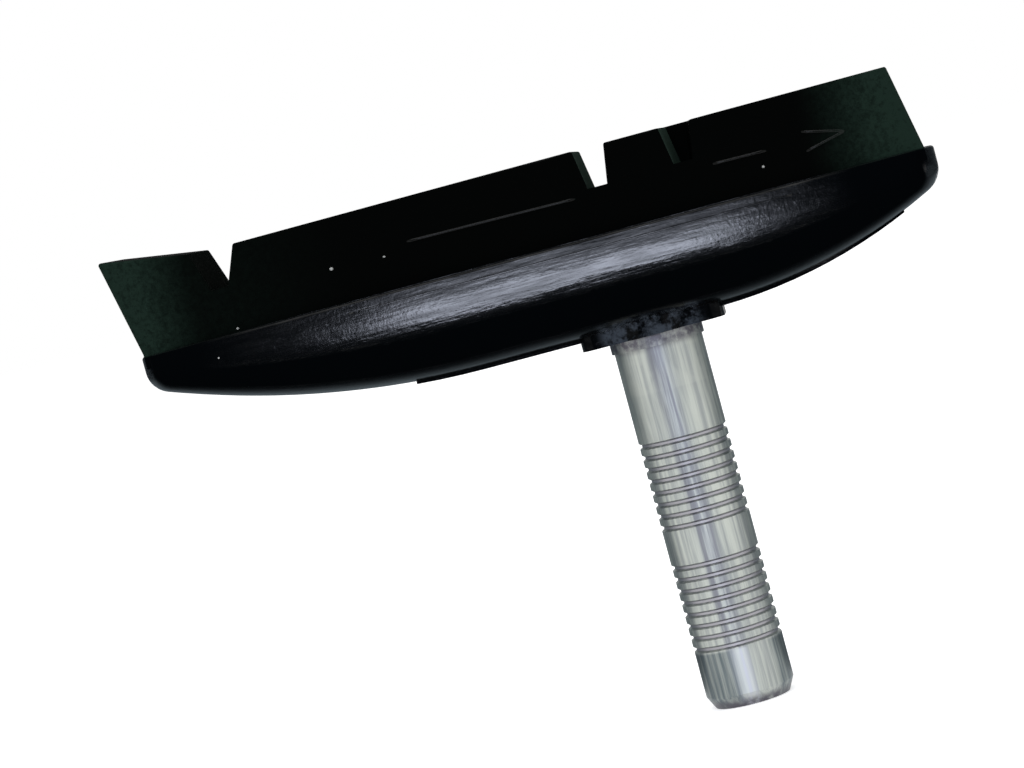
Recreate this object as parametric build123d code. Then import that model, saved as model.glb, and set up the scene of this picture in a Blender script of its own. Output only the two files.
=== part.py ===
from build123d import *
import os
from math import asin, cos, degrees, radians, sin, sqrt, tan

# A rim brake pad: rubber moulded round a steel plate, with a grooved steel post riveted to the plate.
# Millimetres. The origin is on the post's axis, at the shoulder under its collar. +Z points to the
# braking face, +X along the pad to its heel, and the pad's convex long side faces -Y.
# Reaches are measured along the pad's curve from the post's axis, positive towards the heel.

# Post
post_radius = 3.5
post_length = 28.7
end_chamfer_length = 1.0
end_chamfer_depth = 0.52
groove_count = 8
groove_pitch = 0.94
groove_width = 0.46
groove_floor_width = 0.18
groove_depth = 0.22
upper_band_start = 7.45
lower_band_start = 17.25
collar_radius = 3.7
tenon_radius = 2.4
rivet_radius = 3.4
rivet_top_radius = 2.3
rivet_height = 1.1

# Heights, stacked from the post's shoulder up to the braking face
collar_stand = 0.88
boss_proud = 0.72
land_proud = 0.14
base_depth = 7.58
block_height = 6.7

# Base: a hull under a ledge, deepest round the post, with flanks that lean out below the ledge (degrees)
rim_radius = 290.0
base_toe_reach = 39.5
base_heel_reach = 24.4
base_width = 12.4
end_narrowing = 0.7
narrowing_power = 3
flank_lean = 14.0
flank_drop = 0.86
keel_fullness = 0.87
toe_keel_start = 13.2
heel_keel_start = 5.0
toe_end_wall = 0.6
heel_end_wall = 0.65
sections_per_end = 6
end_cap_radius = 9.0
end_round = 1.9
ledge_round = 0.25

# Land along the keel, and the boss round the post
land_width = 5.5
land_toe_run = 5.5
land_heel_start = 5.0
land_heel_set_back = 3.5
boss_length = 11.3
boss_width = 7.0
boss_round = 1.2
hub_radius = 4.2

# Block: the braking rubber above the ledge
side_ledge = 1.0
flank_taper = 0.2
heel_ledge = 0.87
heel_rake = 1.29
toe_ledge = 0.9
toe_rake = 1.73
toe_tip_rise = 1.25
toe_inner_rise = 0.15
notch_set_back = 6.55
notch_toe_run = 1.1
notch_floor = 1.38
notch_heel_run = 1.2
notch_depth = 3.08
groove_reach = -1.12
slot_reach = 5.65
cut_mouth = 2.5
cut_floor = 1.53
groove_cut_depth = 3.08
slot_cut_depth = 2.95
slot_length = 5.4
slot_draft = 0.42
block_round = 0.2

# Backing plate
plate_thickness = 1.6
plate_width = 7.4
plate_toe_cover = 8.1
plate_heel_cover = 6.0
plate_cover = 1.8
key_hole_radius = 1.4
key_hole_inset = 6.5

# Levels, from the sizes above
boss_level = collar_stand
land_level = boss_level + boss_proud
keel_level = land_level + land_proud
ledge_level = keel_level + base_depth
face_level = ledge_level + block_height
plate_top = ledge_level - plate_cover
plate_bottom = plate_top - plate_thickness

# Reaches and widths, from the sizes above
land_toe_reach = toe_keel_start + land_toe_run
land_heel_reach = base_heel_reach - land_heel_set_back
block_width = base_width - 2 * side_ledge
block_face_width = block_width - 2 * flank_taper
toe_root_reach = base_toe_reach - toe_ledge
toe_tip_reach = toe_root_reach + toe_rake
heel_root_reach = base_heel_reach - heel_ledge
heel_face_reach = heel_root_reach - heel_rake
notch_toe_reach = toe_root_reach - notch_set_back
toe_inner_reach = notch_toe_reach + notch_toe_run
notch_heel_reach = notch_toe_reach - notch_floor
notch_face_reach = notch_heel_reach - notch_heel_run
plate_toe_reach = base_toe_reach - plate_toe_cover
plate_heel_reach = base_heel_reach - plate_heel_cover

# The keel's two arcs, level where they start, that leave a wall above the rounding of each end
toe_keel_run = base_toe_reach - toe_keel_start
toe_keel_rise = base_depth - end_round - toe_end_wall
toe_keel_radius = (toe_keel_run**2 + toe_keel_rise**2) / (2 * toe_keel_rise)
heel_keel_run = base_heel_reach - heel_keel_start
heel_keel_rise = base_depth - end_round - heel_end_wall
heel_keel_radius = (heel_keel_run**2 + heel_keel_rise**2) / (2 * heel_keel_rise)

# The pad's curve in plan
curve_middle = (base_heel_reach - base_toe_reach) / 2
curve_depth = sqrt(rim_radius**2 - curve_middle**2)
curve_axis = Axis((curve_middle, curve_depth, 0), (0, 0, 1))
post_angle = asin(-curve_middle / rim_radius)

# How far tools and cuts run past what they shape, and the slack for picking edges at a level
margin = 1.0
level_slack = 0.1


def station(reach):
    """Plane square to the pad's curve at a reach, with its x across the pad and its y up."""
    angle = post_angle + reach / rim_radius
    origin = (curve_middle + rim_radius * sin(angle), curve_depth - rim_radius * cos(angle), 0)
    return Plane(origin, x_dir=(-sin(angle), cos(angle), 0), z_dir=(cos(angle), sin(angle), 0))


def plan_point(reach, across):
    """Point at height 0, a distance across from the pad's curve."""
    return station(reach).from_local_coords((across, 0, 0))


def curved_band(outline, toe_reach, heel_reach):
    """Solid with one cross-section all along the pad's curve."""
    face = station(-toe_reach) * make_face(Polyline(*outline, close=True))
    return revolve(face, axis=curve_axis, revolution_arc=degrees((toe_reach + heel_reach) / rim_radius))


def side_slab(outline):
    """Solid with one outline seen from the side, right across the pad."""
    return extrude(Plane.XZ * make_face(outline), amount=base_width, both=True)


def arc_rise(radius, run):
    """Height that an arc has gained at a run from where it was level."""
    return radius - sqrt(radius**2 - run**2)


def keel_height(reach):
    """Height of the hull's lowest line at a reach."""
    if reach < -toe_keel_start:
        return keel_level + arc_rise(toe_keel_radius, -toe_keel_start - reach)
    if reach > heel_keel_start:
        return keel_level + arc_rise(heel_keel_radius, reach - heel_keel_start)
    return keel_level


def hull_section(reach):
    """Cross-section of the base: level on top, with a flank on each side that turns under to the keel."""
    half_length = (base_toe_reach + base_heel_reach) / 2
    out = abs(reach - curve_middle) / half_length
    half_width = base_width / 2 - end_narrowing * out**narrowing_power
    keel = keel_height(reach)
    drop = flank_drop * (ledge_level - keel)
    swell = (half_width + drop * tan(radians(flank_lean)), ledge_level - drop)
    turn = (half_width * keel_fullness, keel)
    flank = Bezier((half_width, ledge_level), swell, turn, (0, keel))
    deck = Line((half_width, ledge_level), (-half_width, ledge_level))
    return station(reach) * make_face([flank, flank.mirror(Plane.YZ), deck])


def hull_stations():
    """Reaches of the cross-sections, a little past both ends of the base."""
    toe_run = base_toe_reach + margin - toe_keel_start
    heel_run = base_heel_reach + margin - heel_keel_start
    shares = [step / sections_per_end for step in range(1, sections_per_end + 1)]
    toe = [-toe_keel_start - toe_run * share for share in reversed(shares)]
    heel = [heel_keel_start + heel_run * share for share in shares]
    middle = (heel_keel_start - toe_keel_start) / 2
    return toe + [-toe_keel_start, middle, heel_keel_start] + heel


def end_cap(reach, inward):
    """Plan arc that closes one end of the base, from one side of the pad to the other."""
    half = base_width / 2 + margin
    set_back = inward * arc_rise(end_cap_radius, half)
    near = plan_point(reach + set_back, -half)
    far = plan_point(reach + set_back, half)
    return ThreePointArc(near, plan_point(reach, 0), far)


def base_plan():
    """Plan of the base, true at its ends and wider than it along its sides."""
    toe = end_cap(-base_toe_reach, 1)
    heel = end_cap(base_heel_reach, -1)
    half = base_width / 2 + margin
    near = ThreePointArc(toe @ 0, plan_point(curve_middle, -half), heel @ 0)
    far = ThreePointArc(toe @ 1, plan_point(curve_middle, half), heel @ 1)
    return make_face([toe, far, heel, near])


def make_base():
    """Hull with rounded ends and a softened ledge."""
    hull = loft([hull_section(reach) for reach in hull_stations()])
    hull &= extrude(base_plan(), amount=ledge_level + margin)
    below_ledge = hull.edges().filter_by(lambda e: e.center().Z < ledge_level - level_slack)
    toe_zone = base_width / 2 - base_toe_reach
    heel_zone = base_heel_reach - base_width / 2
    hull = fillet(below_ledge.filter_by(lambda e: not toe_zone < e.center().X < heel_zone), end_round)
    return fillet(hull.edges().filter_by(lambda e: e.center().Z > ledge_level - level_slack), ledge_round)


def land_profile():
    """Side view of the land: its foot follows the keel, and its top is buried in the base."""
    toe_run = land_toe_reach - toe_keel_start
    heel_run = land_heel_reach - land_heel_start
    toe = (-land_toe_reach, land_level + arc_rise(toe_keel_radius, toe_run))
    heel = (land_heel_reach, land_level + arc_rise(heel_keel_radius, heel_run))
    buried = ledge_level - margin
    flat_toe = (-toe_keel_start, land_level)
    flat_heel = (land_heel_start, land_level)
    return [
        RadiusArc(toe, flat_toe, -toe_keel_radius),
        Line(flat_toe, flat_heel),
        RadiusArc(flat_heel, heel, -heel_keel_radius),
        Polyline(heel, (land_heel_reach, buried), (-land_toe_reach, buried), toe),
    ]


def make_land():
    """Raised strip along the keel."""
    half = land_width / 2
    outline = [(-half, 0), (half, 0), (half, ledge_level), (-half, ledge_level)]
    strip = curved_band(outline, land_toe_reach + margin, land_heel_reach + margin)
    return strip & side_slab(land_profile())


def make_boss():
    """Raised pad with a round hub that closes on the post's collar."""
    plan = RectangleRounded(boss_length, boss_width, boss_round) + Circle(hub_radius)
    return extrude(Plane.XY.offset(boss_level) * plan, amount=plate_bottom - boss_level)


def cut_profile(reach, depth, narrowing=0.0):
    """Side view of a groove across the braking face, narrower at its floor than at its mouth."""
    floor = cut_floor / 2 - narrowing
    mouth = cut_mouth / 2 - narrowing
    flare = mouth + (mouth - floor) * margin / depth
    bottom = face_level - depth
    top = face_level + margin
    return Polyline(
        (reach - floor, bottom),
        (reach + floor, bottom),
        (reach + flare, top),
        (reach - flare, top),
        close=True,
    )


def block_profile():
    """Side view of the block: a raked toe tip, a notch behind it, the braking face and a raked heel."""
    buried = ledge_level - margin
    return Polyline(
        (-toe_root_reach, buried),
        (-toe_root_reach, ledge_level),
        (-toe_tip_reach, face_level + toe_tip_rise),
        (-toe_inner_reach, face_level + toe_inner_rise),
        (-notch_toe_reach, face_level - notch_depth),
        (-notch_heel_reach, face_level - notch_depth),
        (-notch_face_reach, face_level),
        (heel_face_reach, face_level),
        (heel_root_reach, ledge_level),
        (heel_root_reach, buried),
        close=True,
    )


def make_slot():
    """Cut of the groove that stops inside the block and narrows towards its end."""
    run_out = (base_width - block_face_width) / 2
    outer = cut_profile(slot_reach, slot_cut_depth, -slot_draft * run_out / slot_length)
    inner = cut_profile(slot_reach, slot_cut_depth, slot_draft)
    near = Plane.XZ.offset(base_width / 2) * make_face(outer)
    end = Plane.XZ.offset(block_face_width / 2 - slot_length) * make_face(inner)
    return loft([near, end], ruled=True)


def make_block():
    """Braking block, with flanks that lean in towards the braking face and softened edges."""
    top = face_level + toe_tip_rise + margin
    lean = (block_width - block_face_width) / 2 / block_height
    foot = block_width / 2 + lean * margin
    crest = block_width / 2 - lean * (top - ledge_level)
    bottom = ledge_level - margin
    outline = [(-foot, bottom), (foot, bottom), (crest, top), (-crest, top)]
    band = curved_band(outline, toe_tip_reach + margin, heel_root_reach + margin)
    block = band & side_slab(block_profile())
    block -= side_slab(cut_profile(groove_reach, groove_cut_depth))
    block -= make_slot()
    upper = block.edges().filter_by(lambda e: e.center().Z > face_level - toe_tip_rise)
    ends = block.edges().filter_by(lambda e: not -toe_root_reach < e.center().X < heel_face_reach)
    return fillet(upper + ends.filter_by(lambda e: ledge_level < e.center().Z < face_level), block_round)


def make_plate():
    """Curved strip with round ends, a hole for the tenon and two holes that the rubber keys through."""
    half = plate_width / 2
    toe = plate_toe_reach - half
    heel = plate_heel_reach - half
    from_bottom = (Align.CENTER, Align.CENTER, Align.MIN)
    drill_depth = plate_top + margin
    level = [(-half, plate_bottom), (half, plate_bottom), (half, plate_top), (-half, plate_top)]
    plate = curved_band(level, toe, heel)
    for reach in (-toe, heel):
        end = Cylinder(half, plate_thickness, align=from_bottom)
        plate += Pos(plan_point(reach, 0)) * Pos(0, 0, plate_bottom) * end
    for reach in (-plate_toe_reach + key_hole_inset, plate_heel_reach - key_hole_inset):
        plate -= Pos(plan_point(reach, 0)) * Cylinder(key_hole_radius, drill_depth, align=from_bottom)
    return plate - Cylinder(tenon_radius, drill_depth, align=from_bottom)


def groove_points(start):
    """Profile points of one band of ring grooves, going down the post."""
    points = []
    mouth = groove_width / 2
    floor = groove_floor_width / 2
    for index in range(groove_count):
        middle = -start - index * groove_pitch
        points += [
            (post_radius, middle + mouth),
            (post_radius - groove_depth, middle + floor),
            (post_radius - groove_depth, middle - floor),
            (post_radius, middle - mouth),
        ]
    return points


def make_post():
    """Turned post: grooved wall, collar against the plate, tenon through it and a riveted head."""
    profile = [
        (0, plate_top + rivet_height),
        (rivet_top_radius, plate_top + rivet_height),
        (rivet_radius, plate_top),
        (tenon_radius, plate_top),
        (tenon_radius, plate_bottom),
        (collar_radius, plate_bottom),
        (collar_radius, 0),
        (post_radius, 0),
        *groove_points(upper_band_start),
        *groove_points(lower_band_start),
        (post_radius, end_chamfer_length - post_length),
        (post_radius - end_chamfer_depth, -post_length),
        (0, -post_length),
    ]
    return revolve(Plane.XZ * make_face(Polyline(*profile, close=True)), axis=Axis.Z)


plate = make_plate()
post = make_post()
rubber = make_base() + make_land() + make_boss() + make_block() - plate - post

os.makedirs("parts", exist_ok=True)
export_step(rubber, "parts/rubber_pad.step")
export_step(plate, "parts/backing_plate.step")
export_step(post, "parts/post.step")
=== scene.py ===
from math import cos, pi, radians, sin
from random import Random

import bmesh
import bpy
from mathutils import Matrix, Vector
from mathutils.bvhtree import BVHTree


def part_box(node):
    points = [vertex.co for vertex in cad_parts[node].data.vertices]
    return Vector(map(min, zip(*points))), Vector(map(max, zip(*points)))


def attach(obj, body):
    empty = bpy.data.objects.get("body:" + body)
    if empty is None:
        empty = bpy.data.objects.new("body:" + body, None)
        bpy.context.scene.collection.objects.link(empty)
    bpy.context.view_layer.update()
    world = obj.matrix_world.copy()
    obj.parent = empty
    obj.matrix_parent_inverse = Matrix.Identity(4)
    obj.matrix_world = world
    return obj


MM = 0.001

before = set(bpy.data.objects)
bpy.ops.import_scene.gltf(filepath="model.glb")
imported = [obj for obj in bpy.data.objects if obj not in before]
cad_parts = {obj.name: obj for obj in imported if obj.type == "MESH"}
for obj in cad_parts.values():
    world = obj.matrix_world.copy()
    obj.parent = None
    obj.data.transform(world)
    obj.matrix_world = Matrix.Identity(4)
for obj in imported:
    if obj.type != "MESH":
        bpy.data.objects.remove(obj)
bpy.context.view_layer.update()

# Camera, as the photograph was taken: millimetres and degrees
image_width = 1024
sensor_width = 36.0
view_azimuth = 5.382
view_elevation = 2.675
view_roll = 15.12
view_distance = 271.491
view_target = (-11.835, 0.0, -0.172)
pixels_per_mm = 12.83
clip_metres = (0.01, 20)

# Rubber: where its finish changes along x or up z, from and to, in millimetres
ledge_step = (9.22, 9.42)
# toe_end, toe_fade and heel_end: where the painted sheen on the block's ends comes in and fades
toe_end = (-39.0, -33.0)
toe_fade = (-33.0, -20.0)
heel_end = (14.5, 25.0)
# cuts_from and cuts_to: the x span whose walls facing the heel get painted light
cuts_from = (-5.0, -4.0)
cuts_to = (6.0, 7.0)
gloss_from = (-34.5, -26.0)
gloss_to = (13.0, 18.0)
end_gloss_top = (7.6, 8.3)
boss_top = (2.2, 2.8)
# Reach along x of the dust and painted highlight on the boss
boss_dust_highlight_reach = (3.4, 4.4)

# Rubber: colours
block_black = (0.0011, 0.0013, 0.0012)
# Pale green of the block's ends: painted sheen, not the rubber's own colour
end_sheen_green = (0.0095, 0.0185, 0.0135)
# Pale green of the cut walls that face the heel: painted light, not the rubber's own colour
lit_wall_green = (0.021, 0.035, 0.028)
base_black = (0.0008, 0.0012, 0.0016)
# Mottled greys of the block's upward faces: painted sheen under the top lamp
top_sheen_dark = (0.007, 0.0075, 0.0075)
top_sheen_pale = (0.017, 0.0175, 0.017)
# Pale blue on the boss round the post: dust, and a painted highlight of its lit front
boss_dust_and_highlight = (0.038, 0.046, 0.057)

# Rubber: how far the block's ends turn pale with painted sheen, and the least and most of their mottling
toe_paleness = 0.9
toe_fade_paleness = 0.1
heel_paleness = 1.5
mottling = (0.5, 1.35)

# Rubber: gloss of the skin by place, and of the plain block and the arrow, which fingers rub
flow_gloss = (0.45, 1.1)
ledge_gloss = 0.2
boss_gloss = 0.1
end_gloss = 0.6
grazing_gloss = 0.25
under_gloss = 0.9
side_gloss = 0.25
plain_gloss = 0.0
rubbed_gloss = 0.2
skin_roughness = 0.16
rubber_roughness = (0.74, 0.86)
rubber_specular = 0.001

# Post: where its finish changes along x or up z, or with the radius, from and to, in millimetres
clean_from = (-3.6, -3.4)
tip_to = (-24.3, -24.0)
# The smear with its painted reflection runs down the post about this middle, out to this edge
smear_reflection_middle = -0.1
smear_reflection_edge = (0.4, 1.05)
# left and right: where the stain with a painted dark reflection darkens the sides of the post's end
left_stain_reflection = (-1.1, 0.2)
right_stain_reflection = (2.0, 2.9)
# Collar and end spans: grime with painted shade under the boss at the collar, and darker at the end
collar_grime_and_shade = (-0.5, 0.4)
end_darkening = (-28.5, -27.8)
groove_wall = (3.33, 3.47)
bands_from = (-25.2, -24.9)

# Post: colours
plating_dark = (0.285, 0.305, 0.30)
plating_pale = (0.455, 0.48, 0.44)
plating_clean = (0.47, 0.49, 0.445)
# Bluish greys of the smear: partly a painted reflection of the key lamp, and at the end a painted
# highlight
smear_reflection_grey = (0.19, 0.195, 0.212)
smear_tip_highlight_pale = (0.42, 0.435, 0.485)
# Dark teal of the post's end sides: stain, and a painted dark reflection
stain_and_reflection_grey = (0.1, 0.125, 0.135)
# Dark grey at the collar and the end: grime, and painted shade under the boss
grime_and_shade_grey = (0.1, 0.097, 0.112)
# Grey of the ring grooves' walls that don't face up: grime, and painted shade
groove_grime_and_shade_grey = (0.33, 0.325, 0.345)

# Post: how clean the clean length is, and how much of the smear with its painted reflection, the stain
# with its painted dark reflection, and the grime with its painted shade stays in their gaps
cleanness = 0.3
smear_reflection_left = 0.35
stain_reflection_left = 0.55
grime_and_shade_left = 0.5
metal_roughness = (0.4, 0.48)

# Dust: its finish
dust_dark = (0.16, 0.17, 0.16)
dust_pale = (0.4, 0.4, 0.38)
dust_roughness = 0.95

# Noises of the finishes: scale per metre, detail and roughness
mottle_noise = (2200.0, 4.0, 0.8)
top_sheen_noise = (1200.0, 4.0, 0.75)
speckle_noise = (900.0, 4.0, 0.7)
grain_noise = (3200.0, 3.0, 0.6)
flow_noise = (2400.0, 3.0, 0.6)
streak_noise = (2200.0, 4.0, 0.7)
cloud_noise = (450.0, 3.0, 0.5)
patch_noise = (1300.0, 4.0, 0.65)
dust_noise = (9000.0, 2.0, 0.5)

# Factors by axis that draw a noise out along the pad or along the post
flow_stretch = (0.08, 1.0, 1.0)
streak_stretch = (1.0, 1.0, 0.03)

# Values of a noise between which a finish comes in
noise_range = (0.3, 0.7)
streak_range = (0.35, 0.65)
speckle_range = (0.4, 0.62)
cloud_range = (0.4, 0.55)
smear_reflection_range = (0.38, 0.62)
patch_range = (0.35, 0.6)

# Parts of the surface's normal, along x or z, between which a finish comes or goes
heel_facing = (0.7, 0.85)
top_facing = (0.8, 0.95)
flank_facing = (-0.1, 0.02)
ledge_facing = (0.3, 0.5)
end_facing = (0.7, 0.9)
under_facing = (-0.5, -0.1)
groove_facing = (0.1, 0.4)

# Slant of the line of sight over which the skin loses its gloss, and over which the rim gains it
grazing_slant = (0.55, 0.9)
rim_slant = (0.38, 0.8)
even_blend = 0.5

# Fine reliefs: strength, and depth in millimetres
grain_relief = (0.5, 0.05)
ripple_relief = (0.5, 0.04)
streak_relief = (0.4, 0.03)
ripple_grain = 0.5

# Moulded arrow on the block's outer flank: x and z of its ends, and x of its shaft's two lengths
arrow_tail = (-16.4, 12.66)
arrow_tip = (18.1, 12.12)
arrow_spans = ((-16.4, -3.0), (7.7, 12.0))
arrow_width = 0.26
arrow_raise = 0.11
barb_length = 3.3
barb_spread = 0.77

# Fine mould line on the base below the ledge
line_ends = (-22.0, 13.0)
line_height = 8.5
line_width = 0.2
line_raise = 0.012

# Ribs of added rubber: sunk into the pad, so that no edge floats, and how finely they are made
sink = 0.03
rib_step = 0.5
rib_facets = 8

# Dust: x, z and size of the grains on the outer flank
dust_grains = [
    (-22.5, 12.15, 0.14),
    (-18.3, 12.0, 0.08),
    (-30.8, 9.6, 0.1),
    (-32.7, 7.8, 0.08),
    (11.4, 11.1, 0.09),
]

# Dust: what is sprinkled on the back and the top, and the shapes of all grains
sprinkled_grains = 14
sprinkle_seed = 11
back_share = 0.5
sprinkle_x = (-34, 20)
sprinkle_back_z = (5, 15)
sprinkle_top_y = (-4, 6)
sprinkle_size = (0.04, 0.08)
grain_length = (0.8, 1.5)
grain_width = (0.7, 1.1)
grain_thickness = 0.5

# Start of the rays that find the pad's surface, clear of the part
ray_start = 50

# Studio: the floor and the cards in millimetres, and the colours and levels of light
floor_reach = 6000
floor_gap = 0.05
floor_grey = (0.85, 0.85, 0.85)
floor_roughness = 0.9
floor_glow = 0.6
ambient_level = 0.5
backdrop_level = 1.0
white = (1.0, 1.0, 1.0)
card_foot = -28
card_black = (0.002, 0.002, 0.002)
side_grey = (0.17, 0.205, 0.225)
key_blue = (0.78, 0.84, 1.0)


def node_tree(material):
    """Empties a material's node tree and returns it with its shader."""
    material.use_nodes = True
    tree = material.node_tree
    tree.nodes.clear()
    output = tree.nodes.new("ShaderNodeOutputMaterial")
    shader = tree.nodes.new("ShaderNodeBsdfPrincipled")
    tree.links.new(shader.outputs["BSDF"], output.inputs["Surface"])
    return tree, shader


def connect(tree, value, socket):
    """Links a socket to a socket, or sets a plain value on it."""
    if isinstance(value, bpy.types.NodeSocket):
        tree.links.new(value, socket)
    else:
        socket.default_value = value


def add_node(tree, kind, **sockets):
    """New node with the given inputs, by name."""
    node = tree.nodes.new("ShaderNode" + kind)
    for name, value in sockets.items():
        connect(tree, value, node.inputs[name.replace("_", " ")])
    return node


def math_node(tree, operation, first, second=0.0):
    node = tree.nodes.new("ShaderNodeMath")
    node.operation = operation
    connect(tree, first, node.inputs[0])
    connect(tree, second, node.inputs[1])
    return node.outputs[0]


def product(tree, first, *others):
    result = first
    for other in others:
        result = math_node(tree, "MULTIPLY", result, other)
    return result


def ramp(tree, value, span, low_result=0.0, high_result=1.0):
    """Smooth step of a value over a span, from one result to another."""
    node = add_node(tree, "MapRange", Value=value, From_Min=span[0], From_Max=span[1])
    node.interpolation_type = "SMOOTHSTEP"
    connect(tree, low_result, node.inputs["To Min"])
    connect(tree, high_result, node.inputs["To Max"])
    return node.outputs[0]


def zone(tree, place, span, low_result=0.0, high_result=1.0):
    """Smooth step of a place over a span in millimetres."""
    return ramp(tree, place, (span[0] * MM, span[1] * MM), low_result, high_result)


def opaque(colour):
    return (*colour, 1)


def blend_colour(tree, factor, first, second):
    """Mix of two colours, each a socket or its red, green and blue."""
    node = tree.nodes.new("ShaderNodeMix")
    node.data_type = "RGBA"
    inputs = {socket.identifier: socket for socket in node.inputs}
    connect(tree, factor, inputs["Factor_Float"])
    for colour, name in ((first, "A_Color"), (second, "B_Color")):
        connect(tree, opaque(colour) if isinstance(colour, tuple) else colour, inputs[name])
    return next(socket for socket in node.outputs if socket.identifier == "Result_Color")


def noise(tree, place, texture):
    scale, detail, roughness = texture
    node = add_node(tree, "TexNoise", Vector=place, Scale=scale, Detail=detail, Roughness=roughness)
    return node.outputs["Fac"]


def stretched(tree, place, factors):
    """Coordinates scaled by axis, for grain that runs along one of them."""
    node = add_node(tree, "VectorMath", Vector=place)
    node.operation = "MULTIPLY"
    node.inputs[1].default_value = factors
    return node.outputs[0]


def relief(tree, height, strength, depth):
    """Normal of a fine relief with a depth in millimetres."""
    return add_node(tree, "Bump", Strength=strength, Distance=depth * MM, Height=height).outputs[0]


def surface(tree):
    """Place on the object, the same by axis, and the surface's normal by axis."""
    place = tree.nodes.new("ShaderNodeTexCoord").outputs["Object"]
    normal = tree.nodes.new("ShaderNodeNewGeometry").outputs["Normal"]
    at = add_node(tree, "SeparateXYZ", Vector=place).outputs
    facing = add_node(tree, "SeparateXYZ", Vector=normal).outputs
    return place, at, facing


def block_colour(tree, place, at, facing):
    """Black block with mottled, paler ends and paler cut walls that face the heel; both pale tints are
    painted light, sheen on the ends and light on the walls.
    """
    toe_tip = zone(tree, at["X"], toe_end, toe_paleness, 0.0)
    behind_toe = zone(tree, at["X"], toe_fade, toe_fade_paleness, 0.0)
    toe = math_node(tree, "ADD", toe_tip, behind_toe)
    heel = zone(tree, at["X"], heel_end, 0.0, heel_paleness)
    mottle = ramp(tree, noise(tree, place, mottle_noise), noise_range, *mottling)
    # Painted sheen: the block's ends are tinted paler green
    ends = product(tree, math_node(tree, "MAXIMUM", toe, heel), mottle)
    colour = blend_colour(tree, ends, block_black, end_sheen_green)
    between_cuts = product(tree, zone(tree, at["X"], cuts_from), zone(tree, at["X"], cuts_to, 1.0, 0.0))
    # Painted light: the cut walls that face the heel are tinted pale green as if lit
    lit_cut_wall = product(tree, ramp(tree, facing["X"], heel_facing), between_cuts)
    return blend_colour(tree, lit_cut_wall, colour, lit_wall_green)


def rubber_colour(tree, place, at, facing, on_block, on_boss):
    """Black base under the block, a braking face made paler on top as painted sheen, and dust with a
    painted highlight on the boss round the post.
    """
    colour = blend_colour(tree, on_block, base_black, block_colour(tree, place, at, facing))
    # Painted sheen: the block's faces that look up are given a paler, mottled tone
    upward = product(tree, ramp(tree, facing["Z"], top_facing), on_block)
    top_sheen = ramp(tree, noise(tree, place, top_sheen_noise), noise_range)
    colour = blend_colour(tree, upward, colour, blend_colour(tree, top_sheen, top_sheen_dark, top_sheen_pale))
    # Dust and painted highlight: a pale bluish speckle on the boss near the post
    near_post = zone(tree, math_node(tree, "ABSOLUTE", at["X"]), boss_dust_highlight_reach, 1.0, 0.0)
    speckle = ramp(tree, noise(tree, place, speckle_noise), speckle_range)
    return blend_colour(tree, product(tree, on_boss, near_post, speckle), colour, boss_dust_and_highlight)


def skin_gloss(tree, at, facing, flow, on_boss):
    """Weight of the base's glossy skin: streaked flanks, plain ends and a rim under the base."""
    off_ledge = ramp(tree, facing["Z"], ledge_facing, 1.0, ledge_gloss)
    outward = product(tree, ramp(tree, facing["Z"], flank_facing), off_ledge)
    streaks = ramp(tree, flow, noise_range, *flow_gloss)
    off_boss = ramp(tree, on_boss, (0.0, 1.0), 1.0, boss_gloss)
    lengthways = product(tree, zone(tree, at["X"], gloss_from), zone(tree, at["X"], gloss_to, 1.0, 0.0))
    flanks = product(tree, outward, streaks, off_boss, lengthways)
    endward = ramp(tree, math_node(tree, "ABSOLUTE", facing["X"]), end_facing, 0.0, end_gloss)
    ends = product(tree, endward, zone(tree, at["Z"], end_gloss_top, 1.0, 0.0))
    slant = add_node(tree, "LayerWeight", Blend=even_blend).outputs["Facing"]
    not_grazing = ramp(tree, slant, grazing_slant, 1.0, grazing_gloss)
    skin = product(tree, math_node(tree, "MAXIMUM", flanks, ends), not_grazing)
    rim_gloss = ramp(tree, facing["Z"], under_facing, under_gloss, side_gloss)
    return math_node(tree, "MAXIMUM", skin, ramp(tree, slant, rim_slant, 0.0, rim_gloss))


def rubber_material(name, block_gloss):
    """Moulded rubber: dull and grainy on the block, with a smooth glossy skin below the ledge."""
    material = bpy.data.materials.new(name)
    tree, shader = node_tree(material)
    sockets = shader.inputs
    place, at, facing = surface(tree)
    on_block = zone(tree, at["Z"], ledge_step)
    on_boss = zone(tree, at["Z"], boss_top, 1.0, 0.0)
    grain = noise(tree, place, grain_noise)
    flow = noise(tree, stretched(tree, place, flow_stretch), flow_noise)
    skin = skin_gloss(tree, at, facing, flow, on_boss)
    ripple = math_node(tree, "ADD", flow, product(tree, grain, ripple_grain))
    connect(tree, rubber_colour(tree, place, at, facing, on_block, on_boss), sockets["Base Color"])
    connect(tree, ramp(tree, grain, noise_range, *rubber_roughness), sockets["Roughness"])
    connect(tree, relief(tree, grain, *grain_relief), sockets["Normal"])
    connect(tree, ramp(tree, on_block, (0.0, 1.0), skin, block_gloss), sockets["Coat Weight"])
    connect(tree, relief(tree, ripple, *ripple_relief), sockets["Coat Normal"])
    sockets["Specular IOR Level"].default_value = rubber_specular
    sockets["Coat Roughness"].default_value = skin_roughness
    return material


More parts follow.
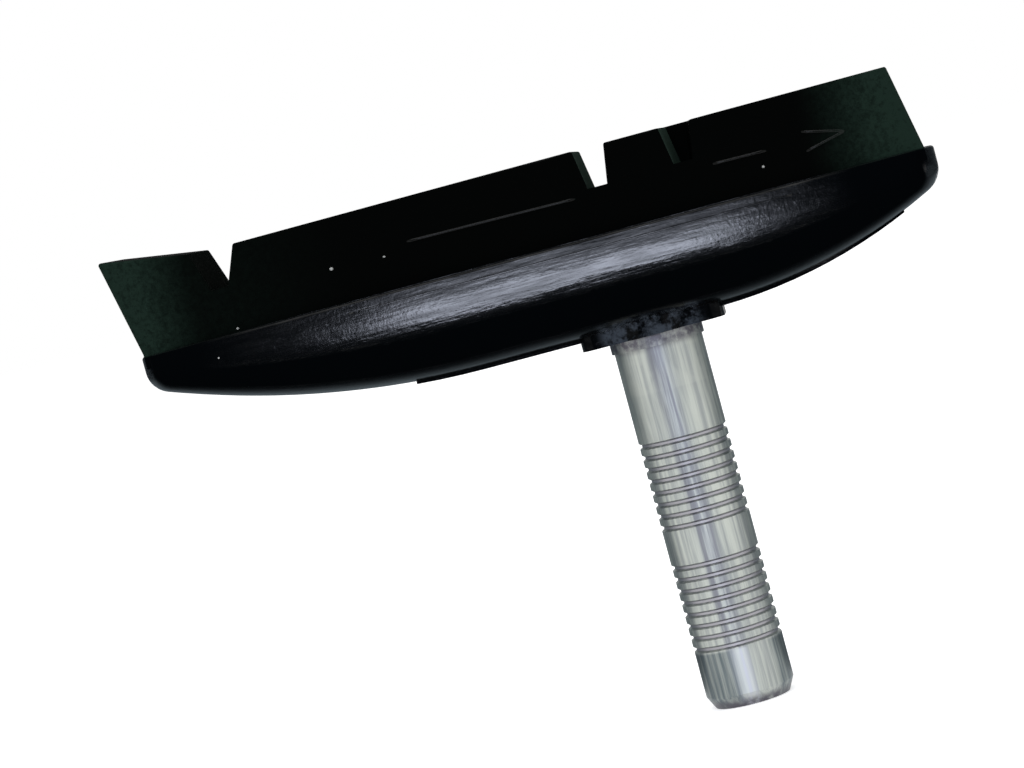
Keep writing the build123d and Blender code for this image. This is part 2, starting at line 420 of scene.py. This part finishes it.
def plating_colour(tree, at, streaks, cloud):
    """Streaked plating, cleaner below the collar, with a dull smear down its front that is also a painted
    reflection of the key lamp, a painted highlight at its end, and a stained end whose sides also hold a
    painted dark reflection.
    """
    colour = blend_colour(tree, ramp(tree, streaks, streak_range), plating_dark, plating_pale)
    clean = product(tree, zone(tree, at["Z"], clean_from, 0.0, cleanness), ramp(tree, cloud, cloud_range))
    colour = blend_colour(tree, clean, colour, plating_clean)
    tip = zone(tree, at["Z"], tip_to, 1.0, 0.0)
    # Painted reflection with the smear: a bluish band down the middle of the post, paler at the end as a
    # painted highlight
    off_middle = math_node(tree, "ABSOLUTE", math_node(tree, "SUBTRACT", at["X"], smear_reflection_middle * MM))
    smear_reflection_band = zone(tree, off_middle, smear_reflection_edge, 1.0, 0.0)
    smear_reflection = product(tree, smear_reflection_band, ramp(tree, streaks, smear_reflection_range, 1.0, smear_reflection_left))
    colour = blend_colour(tree, smear_reflection, colour, blend_colour(tree, tip, smear_reflection_grey, smear_tip_highlight_pale))
    # Stain and painted dark reflection: the sides of the post's end are darkened
    left = zone(tree, at["X"], left_stain_reflection, 1.0, 0.0)
    right = zone(tree, at["X"], right_stain_reflection)
    sides = math_node(tree, "MAXIMUM", left, right)
    stain_reflection = product(tree, tip, sides, ramp(tree, streaks, streak_range, 1.0, stain_reflection_left))
    return blend_colour(tree, stain_reflection, colour, stain_and_reflection_grey)


def grimed_and_shaded(tree, place, at, facing, colour):
    """A colour with grime and painted shade at the collar under the boss and in the ring grooves, on
    their walls that don't face up, and darker on the end.
    """
    patches = ramp(tree, noise(tree, place, patch_noise), patch_range, grime_and_shade_left, 1.0)
    # Grime and painted shade at the collar under the boss, and darker at the end
    at_collar = zone(tree, at["Z"], collar_grime_and_shade)
    at_end = zone(tree, at["Z"], end_darkening, 1.0, 0.0)
    grime_and_shade = product(tree, math_node(tree, "MAXIMUM", at_collar, at_end), patches)
    colour = blend_colour(tree, grime_and_shade, colour, grime_and_shade_grey)
    # Grime and painted shade: groove walls that don't face up are greyed
    radius = add_node(tree, "VectorMath", Vector=stretched(tree, place, (1.0, 1.0, 0.0)))
    radius.operation = "LENGTH"
    sunk = zone(tree, radius.outputs["Value"], groove_wall, 1.0, 0.0)
    not_upward = ramp(tree, facing["Z"], groove_facing, 1.0, 0.0)
    in_groove = product(tree, sunk, not_upward, zone(tree, at["Z"], bands_from))
    return blend_colour(tree, in_groove, colour, groove_grime_and_shade_grey)


def metal_material():
    """Plated steel, dulled by handling, with streaks drawn along the post."""
    material = bpy.data.materials.new("plated_steel")
    tree, shader = node_tree(material)
    sockets = shader.inputs
    place, at, facing = surface(tree)
    streaks = noise(tree, stretched(tree, place, streak_stretch), streak_noise)
    cloud = noise(tree, place, cloud_noise)
    plating = plating_colour(tree, at, streaks, cloud)
    connect(tree, grimed_and_shaded(tree, place, at, facing, plating), sockets["Base Color"])
    connect(tree, ramp(tree, cloud, noise_range, *metal_roughness), sockets["Roughness"])
    connect(tree, relief(tree, streaks, *streak_relief), sockets["Normal"])
    sockets["Metallic"].default_value = 1.0
    return material


def dust_material():
    """Pale lint and dust."""
    material = bpy.data.materials.new("dust")
    tree, shader = node_tree(material)
    place = tree.nodes.new("ShaderNodeTexCoord").outputs["Object"]
    shade = ramp(tree, noise(tree, place, dust_noise), noise_range)
    connect(tree, blend_colour(tree, shade, dust_dark, dust_pale), shader.inputs["Base Color"])
    shader.inputs["Roughness"].default_value = dust_roughness
    return material


rubber = rubber_material("moulded_rubber", plain_gloss)
rubbed_rubber = rubber_material("rubbed_rubber", rubbed_gloss)
metal = metal_material()


def dress(node, material):
    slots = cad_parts[node].data.materials
    slots.clear()
    slots.append(material)


dress("rubber_pad", rubber)
dress("post", metal)
dress("backing_plate", metal)

pad_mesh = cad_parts["rubber_pad"].data
pad_surface = BVHTree.FromPolygons(
    [vertex.co for vertex in pad_mesh.vertices],
    [face.vertices for face in pad_mesh.polygons],
)


def cast(start, way):
    """Place and outward normal where a ray, in millimetres, meets the pad."""
    spot, normal, _, _ = pad_surface.ray_cast(Vector(start) * MM, Vector(way))
    return spot, normal


def on_flank(x, z):
    """Place and outward normal on the pad's outer side, which faces -Y."""
    return cast((x, -ray_start, z), (0, 1, 0))


def add_piece(name, mesh, material):
    """Puts a finished bmesh on the pad as a piece of its own."""
    for face in mesh.faces:
        face.smooth = True
    data = bpy.data.meshes.new(name)
    mesh.to_mesh(data)
    mesh.free()
    data.materials.append(material)
    piece = bpy.data.objects.new(name, data)
    bpy.context.scene.collection.objects.link(piece)
    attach(piece, "root")


def rib_row(mesh, x, z, width, height):
    """Half-round row of points across a rib, with its two ends sunk into the flank."""
    spot, normal = on_flank(x, z)
    across = normal.cross(Vector((1, 0, 0))).normalized()
    row = []
    for facet in range(rib_facets + 1):
        turn = pi * facet / rib_facets
        rise = (height + sink) * sin(turn) - sink
        row.append(mesh.verts.new(spot + (across * cos(turn) * width / 2 + normal * rise) * MM))
    return row


def add_rib(mesh, first, last, width, height):
    """Low rounded rib on the outer flank from one x and z to another, level with it at both ends."""
    count = max(2, round(abs(last[0] - first[0]) / rib_step))
    rows = []
    for index in range(count + 1):
        share = index / count
        x = first[0] + (last[0] - first[0]) * share
        z = first[1] + (last[1] - first[1]) * share
        rows.append(rib_row(mesh, x, z, width, 0.0 if index in (0, count) else height))
    for here, there in zip(rows, rows[1:]):
        for a, b, c, d in zip(here, here[1:], there[1:], there):
            mesh.faces.new((a, b, c, d))
        mesh.faces.new((here[0], there[0], there[-1], here[-1]))
    mesh.faces.new(reversed(rows[0]))
    mesh.faces.new(rows[-1])


def on_arrow(x):
    """Point x, z of the arrow's middle line."""
    share = (x - arrow_tail[0]) / (arrow_tip[0] - arrow_tail[0])
    return x, arrow_tail[1] + share * (arrow_tip[1] - arrow_tail[1])


def add_arrow():
    """Shaft in two lengths and an open head of two barbs."""
    mesh = bmesh.new()
    for first, last in arrow_spans:
        add_rib(mesh, on_arrow(first), on_arrow(last), arrow_width, arrow_raise)
    for side in (-1, 1):
        barb_end = (arrow_tip[0] - barb_length, arrow_tip[1] + side * barb_spread)
        add_rib(mesh, barb_end, arrow_tip, arrow_width, arrow_raise)
    bmesh.ops.recalc_face_normals(mesh, faces=mesh.faces)
    add_piece("moulded_arrow", mesh, rubbed_rubber)


def add_mould_line():
    mesh = bmesh.new()
    add_rib(mesh, (line_ends[0], line_height), (line_ends[1], line_height), line_width, line_raise)
    bmesh.ops.recalc_face_normals(mesh, faces=mesh.faces)
    add_piece("mould_line", mesh, rubber)


def add_dust():
    """Grains on the outer flank, and a few sprinkled on the back and the top."""
    mesh = bmesh.new()
    draw = Random(sprinkle_seed)

    def grain(spot, normal, size):
        place = Matrix.Translation(spot) @ normal.to_track_quat("Z", "Y").to_matrix().to_4x4()
        length = draw.uniform(*grain_length)
        width = draw.uniform(*grain_width)
        stretch = Matrix.Diagonal((length, width, grain_thickness, 1))
        bmesh.ops.create_icosphere(mesh, subdivisions=2, radius=size * MM, matrix=place @ stretch)

    for x, z, size in dust_grains:
        grain(*on_flank(x, z), size)
    for _ in range(sprinkled_grains):
        x = draw.uniform(*sprinkle_x)
        if draw.random() < back_share:
            spot, normal = cast((x, ray_start, draw.uniform(*sprinkle_back_z)), (0, -1, 0))
        else:
            spot, normal = cast((x, draw.uniform(*sprinkle_top_y), ray_start), (0, 0, -1))
        if spot:
            grain(spot, normal, draw.uniform(*sprinkle_size))
    add_piece("dust_grains", mesh, dust_material())


add_arrow()
add_mould_line()
add_dust()


def direction(azimuth, elevation):
    """Unit vector from the object towards a place on the studio's dome."""
    turn = radians(azimuth)
    rise = radians(elevation)
    return Vector((sin(turn) * cos(rise), -cos(turn) * cos(rise), sin(rise)))


def add_camera():
    back = direction(view_azimuth, view_elevation)
    right = Vector((0, 0, 1)).cross(back).normalized()
    up = back.cross(right)
    turn = Matrix((right, up, back)).transposed().to_4x4() @ Matrix.Rotation(radians(-view_roll), 4, "Z")
    camera = bpy.data.objects.new("camera", bpy.data.cameras.new("camera"))
    bpy.context.scene.collection.objects.link(camera)
    place = (Vector(view_target) + back * view_distance) * MM
    camera.matrix_world = Matrix.Translation(place) @ turn
    camera.data.sensor_width = sensor_width
    camera.data.lens = pixels_per_mm * view_distance / image_width * sensor_width
    camera.data.clip_start, camera.data.clip_end = clip_metres
    bpy.context.scene.camera = camera


def add_softbox(name, azimuth, elevation, distance, width, height, power, colour):
    """Area lamp on the studio's dome that faces the object; sizes in metres."""
    lamp = bpy.data.lights.new(name, "AREA")
    lamp.shape = "RECTANGLE"
    lamp.size = width
    lamp.size_y = height
    lamp.energy = power
    lamp.color = colour
    box = bpy.data.objects.new(name, lamp)
    bpy.context.scene.collection.objects.link(box)
    away = direction(azimuth, elevation)
    box.location = away * distance
    box.rotation_euler = away.to_track_quat("Z", "Y").to_euler()
    box.visible_camera = False


def add_sheet(name, material_name, colour, corners):
    """Dull four-cornered sheet of the studio, with its shader; corners in millimetres."""
    mesh = bpy.data.meshes.new(name)
    mesh.from_pydata([Vector(corner) * MM for corner in corners], [], [(0, 1, 2, 3)])
    sheet = bpy.data.objects.new(name, mesh)
    bpy.context.scene.collection.objects.link(sheet)
    material = bpy.data.materials.new(material_name)
    mesh.materials.append(material)
    tree, shader = node_tree(material)
    shader.inputs["Base Color"].default_value = opaque(colour)
    shader.inputs["Specular IOR Level"].default_value = 0.0
    return sheet, tree, shader


def add_flag(name, shade, corners):
    """Dark card that only shows in reflections."""
    card, _, _ = add_sheet(name, name, shade, corners)
    card.visible_camera = False
    card.visible_diffuse = False
    card.visible_shadow = False


def upright(first, last, top):
    """Corners of a card that stands from one x and y to another."""
    foot = [(*first, card_foot), (*last, card_foot)]
    return foot + [(*last, top), (*first, top)]


def lying(*points):
    """Corners of a card that lies flat, from the x and y of each."""
    return [(*point, card_foot) for point in points]


def seen_directly(tree):
    """1 for what is seen, straight, mirrored or through glass, and 0 for light that falls on things."""
    path = tree.nodes.new("ShaderNodeLightPath").outputs
    shown = math_node(tree, "MAXIMUM", path["Is Camera Ray"], path["Is Glossy Ray"])
    return math_node(tree, "MAXIMUM", shown, path["Is Transmission Ray"])


def add_world():
    """White where it is seen, and softer as light."""
    world = bpy.data.worlds.new("studio")
    bpy.context.scene.world = world
    world.use_nodes = True
    tree = world.node_tree
    tree.nodes.clear()
    ambient = add_node(tree, "Background", Color=opaque(white), Strength=ambient_level)
    backdrop = add_node(tree, "Background", Color=opaque(white), Strength=backdrop_level)
    mix = add_node(tree, "MixShader", Fac=seen_directly(tree))
    tree.links.new(ambient.outputs[0], mix.inputs[1])
    tree.links.new(backdrop.outputs[0], mix.inputs[2])
    output = tree.nodes.new("ShaderNodeOutputWorld")
    tree.links.new(mix.outputs[0], output.inputs["Surface"])


def add_floor():
    """Pale floor just under the post, which glows where it is seen and keeps the shadow."""
    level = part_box("post")[0].z / MM - floor_gap
    turns = ((-1, -1), (1, -1), (1, 1), (-1, 1))
    corners = [(x * floor_reach, y * floor_reach, level) for x, y in turns]
    _, tree, shader = add_sheet("floor", "pale_floor", floor_grey, corners)
    shader.inputs["Roughness"].default_value = floor_roughness
    glow = add_node(tree, "Emission", Strength=floor_glow)
    lit = tree.nodes.new("ShaderNodeAddShader")
    tree.links.new(shader.outputs[0], lit.inputs[0])
    tree.links.new(glow.outputs[0], lit.inputs[1])
    pick = add_node(tree, "MixShader", Fac=seen_directly(tree))
    tree.links.new(shader.outputs[0], pick.inputs[1])
    tree.links.new(lit.outputs[0], pick.inputs[2])
    tree.links.new(pick.outputs[0], tree.nodes["Material Output"].inputs["Surface"])


add_camera()
add_world()
add_floor()
add_flag("front_flag", card_black, upright((-560, -950), (450, -950), 900))
add_flag("floor_flag", card_black, lying((-115, -150), (-540, -950), (350, -950), (75, -150)))
add_flag("back_floor_flag", side_grey, lying((-700, 4), (700, 4), (700, 320), (-700, 320)))
add_flag("left_flag", side_grey, upright((-700, 120), (-100, 320), 500))
add_flag("right_flag", side_grey, upright((100, 320), (490, 265), 500))
add_softbox("key", -3.4, 11, distance=0.85, width=0.31, height=0.19, power=2.25, colour=key_blue)
add_softbox("upper_key", -3.4, 22.6, distance=0.85, width=0.31, height=0.155, power=0.46, colour=key_blue)
add_softbox("top", 0, 80, distance=1.5, width=1.2, height=1.2, power=15.0, colour=white)
bpy.context.scene.view_settings.view_transform = "Standard"
